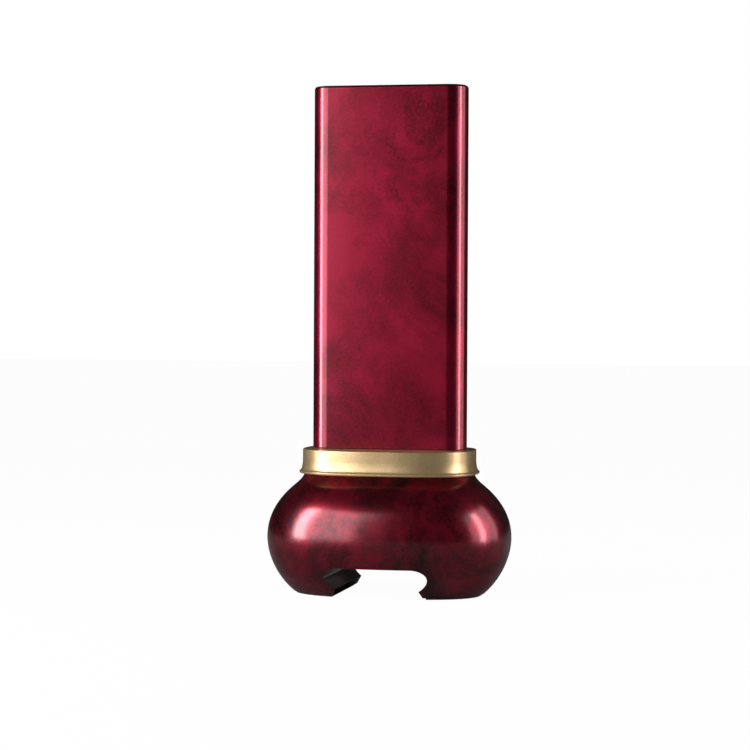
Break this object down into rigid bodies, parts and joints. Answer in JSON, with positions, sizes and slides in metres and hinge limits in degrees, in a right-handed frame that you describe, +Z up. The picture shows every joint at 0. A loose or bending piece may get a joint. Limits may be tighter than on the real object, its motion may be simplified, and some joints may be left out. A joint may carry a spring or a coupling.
{
  "type": "memorial tablet",
  "caption": "Tall round-edged red lacquered board that lifts off a bulged base with a gold step, open from front to back under the base.",
  "frame": {"origin": "on the surface that the felts rest on, under the middle of the base", "axes": "+Z up, +X to the right as seen from the front, -Y towards the front"},
  "size_m": [0.08, 0.055, 0.166],
  "materials": {
    "board_lacquer": "gloss red lacquer with soft dark clouding",
    "base_lacquer": "gloss dark red lacquer with black clouding",
    "gold_paint": "satin gold paint with a fine metallic grain",
    "bare_wood": "bare, planed",
    "screw_steel": "plated",
    "felt": "pressed felt"
  },
  "bodies": {
    "stand": {"base_block": "base_lacquer", "gold_tier": "gold_paint", "dowel_left": "bare_wood", "dowel_right": "bare_wood", "base_screw_front": "screw_steel", "base_screw_rear": "screw_steel", "foot_felt_left": "felt", "foot_felt_right": "felt"},
    "tablet": {"tablet_board": "board_lacquer", "board_tenon": "bare_wood"}
  },
  "joints": [
    {"name": "tablet_lift", "type": "slide", "parent": "stand", "child": "tablet", "axis": [0, 0, 1], "range_m": [0, 0.03]}
  ]
}
